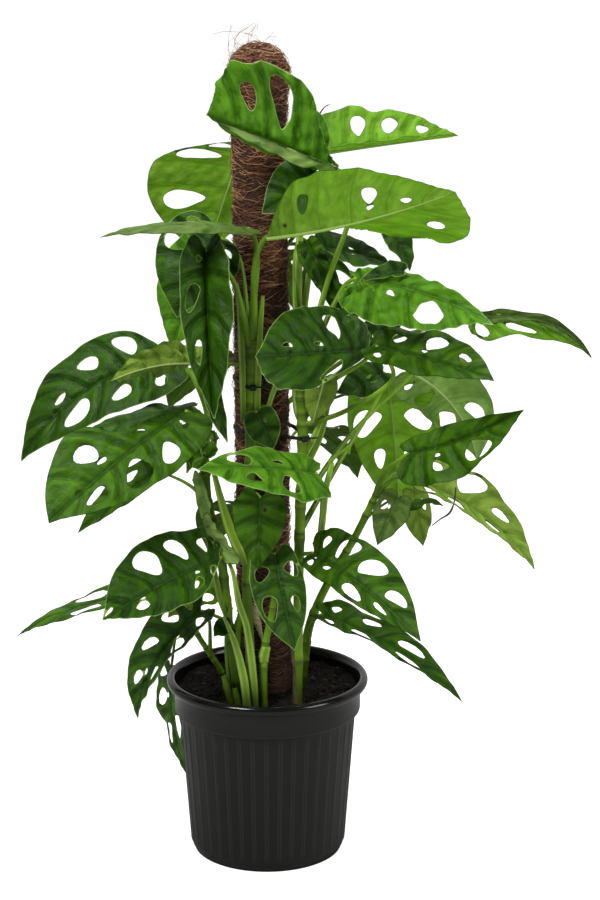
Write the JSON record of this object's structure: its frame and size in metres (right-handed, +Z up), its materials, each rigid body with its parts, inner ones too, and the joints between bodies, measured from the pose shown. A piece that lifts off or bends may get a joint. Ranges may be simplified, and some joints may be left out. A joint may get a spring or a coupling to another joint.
{
  "type": "monstera adansonii in nursery pot",
  "caption": "Climbing monstera with holed oval leaves on long petioles, tied to a coir pole and standing in soil in a round black nursery pot.",
  "frame": {"origin": "centre of the pot's underside", "axes": "+Z up along the pot's axis, -Y the front of the plant, +X to the right seen from the front"},
  "size_m": [0.6935, 0.3866, 0.958],
  "materials": {
    "pot": "semi-gloss moulded black plastic",
    "soil": "matt near-black fibrous potting mix",
    "coir": "matt red-brown coconut fibre",
    "tie": "satin black plastic",
    "stem": "smooth, slightly waxy light green",
    "leaf": "semi-gloss green with paler veins and underside"
  },
  "bodies": {
    "root": {"pot": "pot", "soil": "soil", "coir_pole": "coir", "tie_upper": "tie", "tie_lower": "tie", "stem_front": "stem", "stem_right": "stem", "stem_left": "stem", "stem_spread": "stem", "stem_low": "stem", "stem_side": "stem", "stem_back": "stem", "leaf_crown_shield": "leaf", "leaf_crown_right": "leaf", "leaf_crown_front": "leaf", "leaf_crown_shade": "leaf", "leaf_crown_left": "leaf", "leaf_ribbon_left": "leaf", "leaf_left_shade": "leaf", "leaf_left_hanging": "leaf", "leaf_left_behind": "leaf", "leaf_left_upper": "leaf", "leaf_left_edge": "leaf", "leaf_left_broad": "leaf", "leaf_left_lower_tip": "leaf", "leaf_left_curled": "leaf", "leaf_low_left": "leaf", "leaf_low_left_edge": "leaf", "leaf_pot_left": "leaf", "leaf_pot_back": "leaf", "leaf_low_left_pale": "leaf", "leaf_low_dark": "leaf", "leaf_centre_bright": "leaf", "leaf_centre_heart": "leaf", "leaf_centre_low": "leaf", "leaf_centre_dark": "leaf", "leaf_centre_cup": "leaf", "leaf_centre_pale": "leaf", "leaf_centre_dark_right": "leaf", "leaf_low_right": "leaf", "leaf_low_right_edge": "leaf", "leaf_right_sail": "leaf", "leaf_right_bar": "leaf", "leaf_right_teal": "leaf", "leaf_right_bright": "leaf", "leaf_right_mid": "leaf", "leaf_right_far": "leaf", "leaf_right_dark": "leaf", "leaf_right_hanging": "leaf", "leaf_right_pale": "leaf", "leaf_right_open": "leaf", "leaf_right_long": "leaf", "leaf_right_small_a": "leaf", "leaf_right_small_b": "leaf", "leaf_back_top": "leaf", "leaf_back_left": "leaf", "leaf_back_right": "leaf", "leaf_back_low": "leaf", "leaf_left_young": "leaf"}
  },
  "joints": []
}
